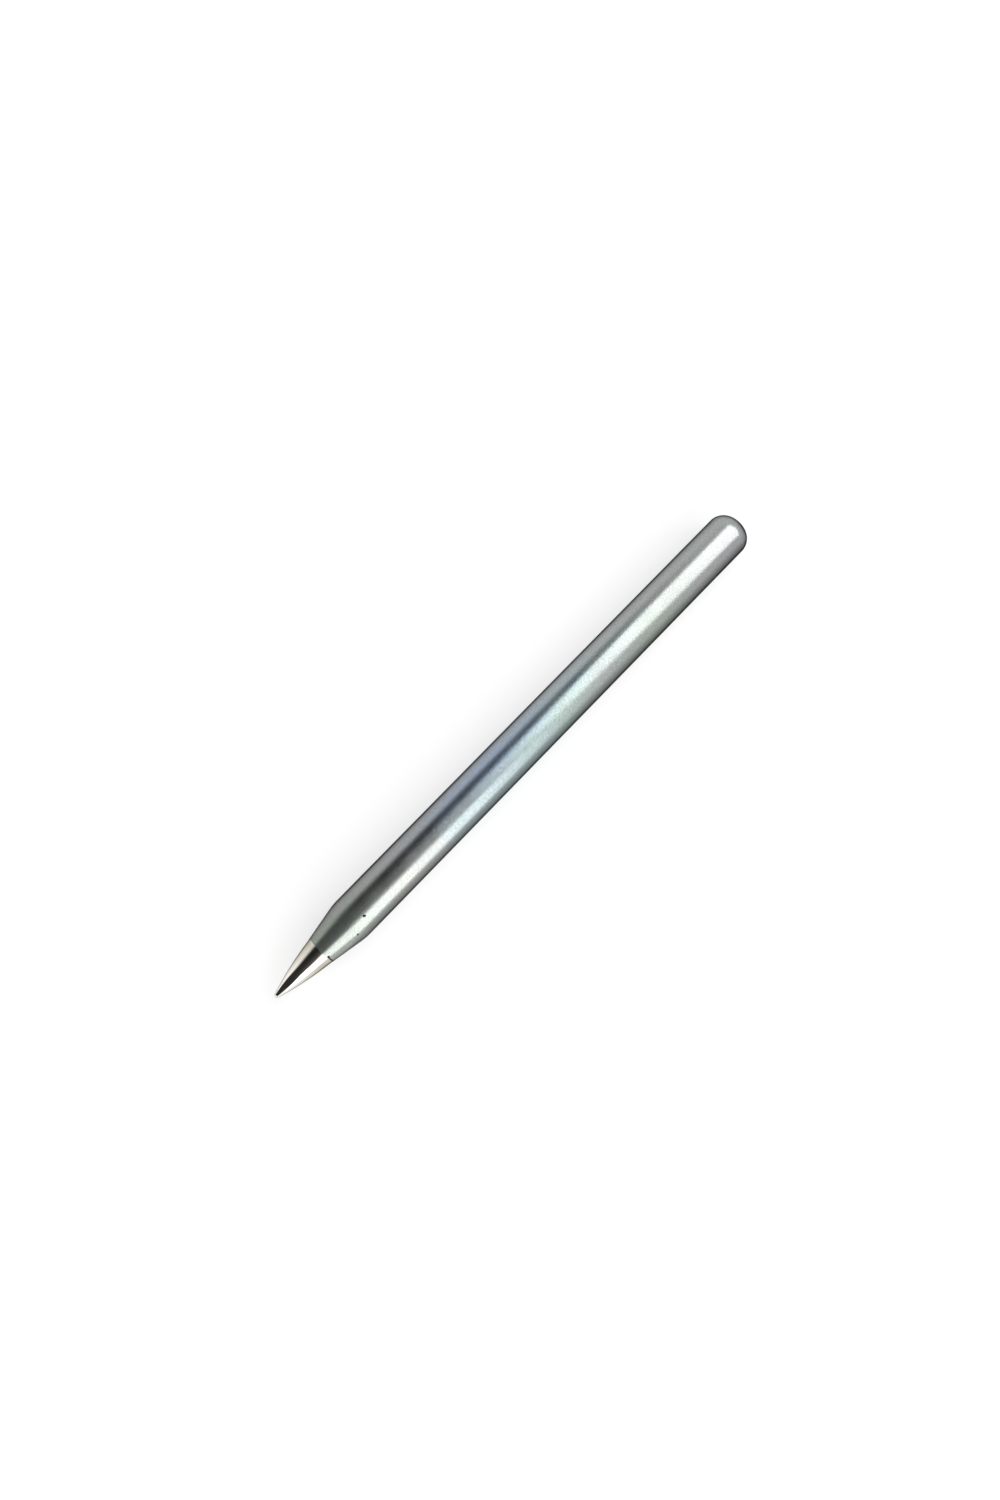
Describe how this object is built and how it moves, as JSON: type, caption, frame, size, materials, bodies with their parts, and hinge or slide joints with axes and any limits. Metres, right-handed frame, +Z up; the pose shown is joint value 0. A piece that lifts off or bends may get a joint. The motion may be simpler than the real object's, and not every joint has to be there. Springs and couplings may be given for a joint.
{
  "type": "soldering iron tip",
  "caption": "Plug-in soldering iron tip: a plated round copper rod with a tapered, tinned conical point and a rounded rear end.",
  "frame": {"origin": "on the axis, where the straight wall of the shank meets the rounded rear end", "axes": "+X along the axis towards the rear end, which goes into the iron; the point looks towards -X; +Z up as the tip lies on a bench"},
  "size_m": [0.073, 0.005, 0.005],
  "materials": {
    "plated_tip": "bright satin plating on the shank and taper, smooth warm tin on the point"
  },
  "bodies": {
    "root": {"soldering_tip": "plated_tip"}
  },
  "joints": []
}
